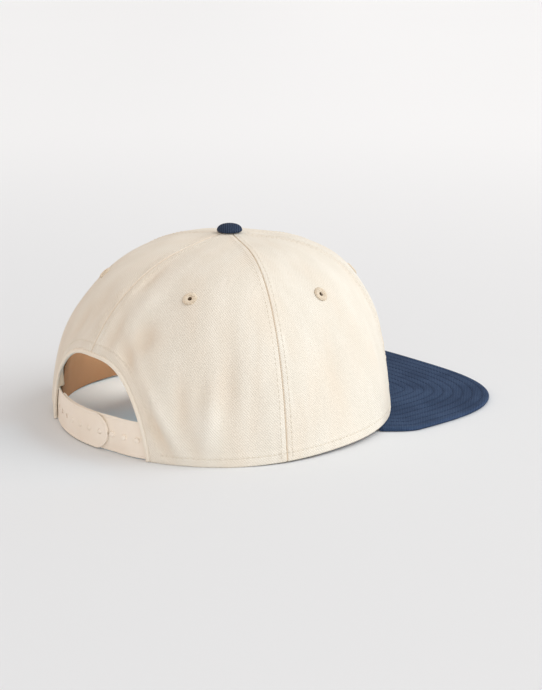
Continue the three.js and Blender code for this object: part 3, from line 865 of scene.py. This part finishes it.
dome = [(1.8, -3.0), (1.8, 0.1), (6.2, 0.1), (6.7, 0.35)]
dome += [(7.0 * math.cos(a) ** 0.75, 0.9 + 3.6 * math.sin(a)) for a in np.linspace(0, 1.45, 14)]
dome += [(0.4, 4.5)]
button_seat = crown_face(np.array(0.0), np.array(math.acos(TOP_HOLE_RADIUS / HALF_WIDTH)))[2]
button = turned(
    "button_dome", dome, 72, (0, -TOP_FORWARD, button_seat), (0, 0, 1), button_finish(),
    lambda turn, radius, height: 0.12 * np.sin(turn * 18) * (height < 1.2) * (radius > 6),
)
shade_smooth(button, 50)
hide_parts("button")


# Eyelets. A vent hole in each panel, worked round with satin stitch in cream thread. The hole's
# inner wall is painted dark brown, which is painted shade inside the hole.
eyelet_thread = thread_finish("eyelet_thread", (0.97, 0.88, 0.735, 1), (0.87, 0.715, 0.53, 1))
# Painted shade: a dark brown finish for the inside of the hole.
eyelet_hole_shade = thread_finish("eyelet_hole_shade", (0.36, 0.25, 0.155, 1), (0.2, 0.135, 0.08, 1), 0.1)
eyelet_core = [
    (0.8, -2.4), (1.85, -2.4), (1.9, 0.1), (3.7, 0.0), (3.75, 0.15), (3.2, 0.42), (2.5, 0.55),
    (1.8, 0.42), (1.15, 0.2),
]


def satin(centre, axis):
    first = unit(np.cross(axis, (0.3, 1.0, 0.2)))
    second = np.cross(axis, first)
    beads = []
    for k in range(44):
        turn = 2 * np.pi * k / 44
        out = math.cos(turn) * first + math.sin(turn) * second
        reach = 4.0 + 0.12 * math.sin(k * 2.4)
        path = [(1.3, 0.05), (1.75, 0.5), (2.5, 0.7), (3.3, 0.52), (reach, 0.0)]
        line = np.array([centre + out * r + axis * h for r, h in path])
        fine = even(line, 4)
        aside = unit(np.cross(out, axis))
        rings = []
        for j, girth in enumerate((0.16, 0.24, 0.27, 0.2)):
            bend = np.arange(6) * np.pi / 3
            rings.append(fine[j] + girth * (np.cos(bend)[:, None] * aside + np.sin(bend)[:, None] * axis))
        beads.append(np.concatenate(rings))
    return beads


for eye_name in PANELS:
    for eye_side, eye_sign in (("left", 1), ("right", -1)):
        eye_phi = np.array(eye_sign * math.radians(EYELET_ANGLE[eye_name]))
        eye_climb = climb_at(eye_phi, EYELET_HEIGHT[eye_name])
        eye_axis = crown_normal(eye_phi, eye_climb)
        eye_centre = cloth_point(eye_phi, eye_climb)
        core = turned(
            f"eyelet_core_{eye_name}_{eye_side}", eyelet_core + [eyelet_core[0]], 40, eye_centre, eye_axis,
            eyelet_thread,
        )
        core.data.materials.append(eyelet_hole_shade)
        for face in core.data.polygons:
            from_eye = face.center * 1000 - Vector(in_frame(eye_centre)) * 1000
            # The hole's inner wall takes the dark brown finish: painted shade.
            face.material_index = int(from_eye.cross(Vector(eye_axis)).length < 1.3)
        shape = bmesh.new()
        shape.from_mesh(core.data)
        caps = [f for f in shape.faces if len(f.verts) > 4]
        bmesh.ops.delete(shape, geom=caps, context="FACES_ONLY")
        bmesh.ops.remove_doubles(shape, verts=shape.verts, dist=1e-6)
        bmesh.ops.recalc_face_normals(shape, faces=shape.faces)
        shape.to_mesh(core.data)
        shape.free()
        shade_smooth(core, 50)
        stitches_piece(
            f"eyelet_thread_{eye_name}_{eye_side}", satin(eye_centre, eye_axis), eyelet_thread
        )
        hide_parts(f"eyelet_{eye_name}_{eye_side}")


# Snap strap. Two moulded plastic straps with a raised lip along their edges: one with round pegs,
# and one with holes and a round end that is pressed over them. Four pegs are in their holes.
STRAP_THICK, STRAP_DEPTH, STRAP_BOTTOM, STRAP_TOP = 1.1, 2.1, 0.5, 19.5
STRAP_SEWN_IN, STRAP_ROUND_END, STRAP_HIDDEN_END = 6.0, 191.9, 158.0
PEG_FIRST, PEG_STEP, PEG_COUNT, OPEN_PEGS, HOLE_RADIUS = 203.1, 4.85, 7, 3, 1.5
strap_middle, strap_half = (STRAP_BOTTOM + STRAP_TOP) / 2, (STRAP_TOP - STRAP_BOTTOM) / 2
under_depth = STRAP_DEPTH + STRAP_THICK + 0.3


def peg_depth(angle):
    rise = smooth(angle, STRAP_ROUND_END + 0.5, STRAP_ROUND_END + 10)
    return under_depth + (STRAP_DEPTH - under_depth) * rise


def plastic():
    finish = Finish("cream_plastic", **{"Specular IOR Level": 0.4})
    _, start = finish.place("object")
    grain = finish.noise(start, 700.0, 3.0)
    cloud = finish.noise(start, 60.0, 2.0)
    finish.show(
        Base_Color=finish.mix(cloud.between(0.3, 0.7), (0.93, 0.83, 0.71, 1), (0.96, 0.87, 0.76, 1)),
        Roughness=0.5 + grain * 0.15,
        Normal=finish.bump(grain, 0.00008),
    )
    return finish.material


cream_plastic = plastic()


def strap_piece(name, start, end, depth_at, holes):
    length = abs(math.radians(end - start)) * BACK_LENGTH
    round_end = length - strap_half * np.cos(np.linspace(0, np.pi / 2, 34))
    along = np.concatenate([np.arange(0, length - strap_half, 0.75), round_end])
    along[-1] = length - 0.02
    lip_rows = np.array([0.84, 0.87, 0.9, 0.93, 0.96, 0.985, 1])
    across = np.concatenate([-lip_rows[::-1], np.linspace(-0.78, 0.78, 21), lip_rows])
    run, side = np.meshgrid(along, across, indexing="ij")
    left = np.minimum((length - run) / strap_half, 1)
    rise = side * strap_half * np.sqrt(np.maximum(1 - (1 - left) ** 2, 0))
    turn = np.linspace(0, np.pi, 80)
    outline = np.concatenate([
        np.stack([np.linspace(0, length - strap_half, 60), np.full(60, strap_half)], -1),
        np.stack([length - strap_half + strap_half * np.sin(turn), strap_half * np.cos(turn)], -1),
        np.stack([np.linspace(length - strap_half, 0, 60), np.full(60, -strap_half)], -1),
    ])
    flat = np.stack([run, rise, 0 * run], -1)
    to_edge = nearest(flat, np.concatenate([outline, np.zeros((len(outline), 1))], 1))
    for centre in holes:
        gap = np.stack([run - centre, rise], -1)
        far = np.linalg.norm(gap, axis=-1)
        near = (far < HOLE_RADIUS) & (far > 1e-6)
        run = np.where(near, centre + gap[..., 0] / np.maximum(far, 1e-6) * HOLE_RADIUS, run)
        rise = np.where(near, gap[..., 1] / np.maximum(far, 1e-6) * HOLE_RADIUS, rise)
    lip = 0.32 * smooth(to_edge, 0.0, 0.35) * (1 - smooth(to_edge, 0.95, 1.5))
    angle = start + (end - start) * run / length
    points = band_point(np.radians(angle), strap_middle + rise, depth_at(angle) - lip)
    piece = grid_piece(name, points)
    shape = bmesh.new()
    shape.from_mesh(piece.data)
    shape.verts.ensure_lookup_table()
    flat_run, flat_rise = run.ravel(), rise.ravel()
    gone = []
    for face in shape.faces:
        for centre in holes:
            reach = [math.hypot(flat_run[v.index] - centre, flat_rise[v.index]) for v in face.verts]
            if max(reach) < HOLE_RADIUS + 0.01:
                gone.append(face)
                break
    bmesh.ops.delete(shape, geom=gone, context="FACES")
    shape.to_mesh(piece.data)
    shape.free()
    face_outwards(piece, (0, 1, 0))
    apply_modifier(piece, "SOLIDIFY", thickness=STRAP_THICK * 0.001, offset=-1)
    apply_modifier(
        piece, "BEVEL", width=0.00022, segments=2, limit_method="ANGLE", angle_limit=math.radians(55)
    )
    piece.data.materials.clear()
    piece.data.materials.append(cream_plastic)
    shade_smooth(piece, 45)
    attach(piece, "root")
    return piece


holes_from = 180 - ARCH_HALF_ANGLE - STRAP_SEWN_IN
pegs_from = 180 + ARCH_HALF_ANGLE + STRAP_SEWN_IN
hole_places = [
    math.radians(PEG_FIRST - PEG_STEP * (i + OPEN_PEGS) - holes_from) * BACK_LENGTH for i in range(PEG_COUNT)
]
hole_places = [place for place in hole_places if place > 4]
strap_outer = strap_piece(
    "strap_outer", holes_from, STRAP_ROUND_END, lambda angle: STRAP_DEPTH + 0 * angle, hole_places
)
strap_inner = strap_piece("strap_inner", pegs_from, STRAP_HIDDEN_END, peg_depth, [])
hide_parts("strap_with_holes")
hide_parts("strap_with_pegs")
peg_shape = [
    (1.0, -0.6), (1.6, -0.05), (1.5, 0.15), (1.42, 0.5), (1.42, 1.1), (1.3, 1.4), (1.0, 1.6),
    (0.5, 1.7), (0.1, 1.72),
]
for i in range(PEG_COUNT):
    peg_angle = np.array(PEG_FIRST - PEG_STEP * i)
    peg_phi = np.radians(peg_angle)
    peg_foot = band_point(peg_phi, np.array(strap_middle), peg_depth(peg_angle))
    peg_axis = crown_normal(peg_phi, climb_at(peg_phi, strap_middle))
    peg = turned(f"peg_{i + 1}", peg_shape, 28, peg_foot, peg_axis, cream_plastic)
    shade_smooth(peg, 45)


# Floor, light and camera. A plain pale floor, one large soft light high on the right as the camera
# sees the cap, and even light from all round.
CAP_MIDDLE = Vector((-0.03976, MIDDLE_Y * 0.001, 0.04548))
TO_CAMERA = Vector((-0.7482, 0.6101, 0.2608)).normalized()
TO_RIGHT = Vector((0, 0, 1)).cross(TO_CAMERA).normalized()


# The floor's paint is paler far away and to the right, which is painted light, and darker and a little bluer
# near and to the left, which is painted shade.
def floor_finish():
    finish = Finish("pale_floor", **{"Specular IOR Level": 0.2})
    (x, y, _), start = finish.place("object")
    away = (x * 0.775 - y * 0.632).between(0, 1250)
    aside = (x * TO_RIGHT.x + y * TO_RIGHT.y).between(-300, 300)
    cloud = finish.noise(start, 1.3, 2.0)
    # Painted light and shade: paler far away and to the right, darker near and to the left.
    tone = away * 0.7 + aside * 0.25 + cloud * 0.05
    finish.show(
        Base_Color=finish.mix(tone, (0.765, 0.788, 0.81, 1), (0.94, 0.958, 0.975, 1)),
        Roughness=0.75 + cloud * 0.1,
    )
    return finish.material


bpy.ops.mesh.primitive_plane_add(size=24)
floor = bpy.context.object
floor.name = "floor"
floor.data.materials.append(floor_finish())

# Even light from all round, warmer from the left, and brighter from a broad white screen behind
# the camera, a little to its right. Overhead it is dimmer.
world = bpy.data.worlds.new("studio")
bpy.context.scene.world = world
room = Nodes(world)
direction = room.node("ShaderNodeTexCoord", {}, {})
screen_way = (TO_RIGHT * 0.4 + TO_CAMERA).normalized()
across = room.node("ShaderNodeVectorMath", {"operation": "DOT_PRODUCT"}, {0: direction, 1: TO_RIGHT}, 1)
to_screen = room.node("ShaderNodeVectorMath", {"operation": "DOT_PRODUCT"}, {0: direction, 1: screen_way}, 1)
walls = room.mix(across.between(-1.0, 0.4), (0.78, 0.65, 0.565, 1), (0.74, 0.74, 0.74, 1))
room_light = room.mix(to_screen.between(0.25, 1.0), walls, (1.12, 1.12, 1.12, 1))
up = room.node("ShaderNodeVectorMath", {"operation": "DOT_PRODUCT"}, {0: direction, 1: (0, 0, 1)}, 1)
dimmer = 1.21 - up.between(0.0, 0.9) * 0.42
light_all_round = room.node("ShaderNodeBackground", {}, {"Color": room_light, "Strength": dimmer})
room.node("ShaderNodeOutputWorld", {}, {"Surface": light_all_round})


def add_light(name, kind, place, target, energy, colour, **settings):
    data = bpy.data.lights.new(name, kind)
    data.energy, data.color = energy, colour
    for key, value in settings.items():
        setattr(data, key, value)
    lamp = bpy.data.objects.new(name, data)
    bpy.context.scene.collection.objects.link(lamp)
    lamp.location = place
    lamp.rotation_euler = (target - place).to_track_quat("-Z", "Y").to_euler()
    lamp.visible_camera = False


# The key light, and two small lamps in the hollow for the light that comes in through the cloth
key_place = CAP_MIDDLE + TO_RIGHT * 1.3 + Vector((0, 0, 1.05))
add_light("key", "SUN", key_place, CAP_MIDDLE, 1.3, (1.0, 1.0, 1.0), angle=math.radians(50))
glow_place = Vector((0.045, 0.03, 0.05))
glow_target = Vector((0.09, 0.0375, 0.055))
add_light(
    "glow_through_cloth", "AREA", glow_place, glow_target, 0.064, (0.86, 0.97, 0.97), shape="DISK", size=0.03
)
above_place, above_target = Vector((0.0, 0.055, 0.07)), Vector((0.0, 0.07, 0.0))
add_light(
    "glow_from_above", "AREA", above_place, above_target, 0.019, (0.3, 0.74, 0.96), shape="DISK", size=0.05
)

camera_data = bpy.data.cameras.new("camera")
camera_data.sensor_width, camera_data.lens = 36.0, 84.1
camera = bpy.data.objects.new("camera", camera_data)
bpy.context.scene.collection.objects.link(camera)
camera.location = CAP_MIDDLE + TO_CAMERA * 0.870
camera.rotation_euler = TO_CAMERA.to_track_quat("Z", "Y").to_euler()
bpy.context.scene.camera = camera
bpy.context.scene.view_settings.view_transform = "Standard"
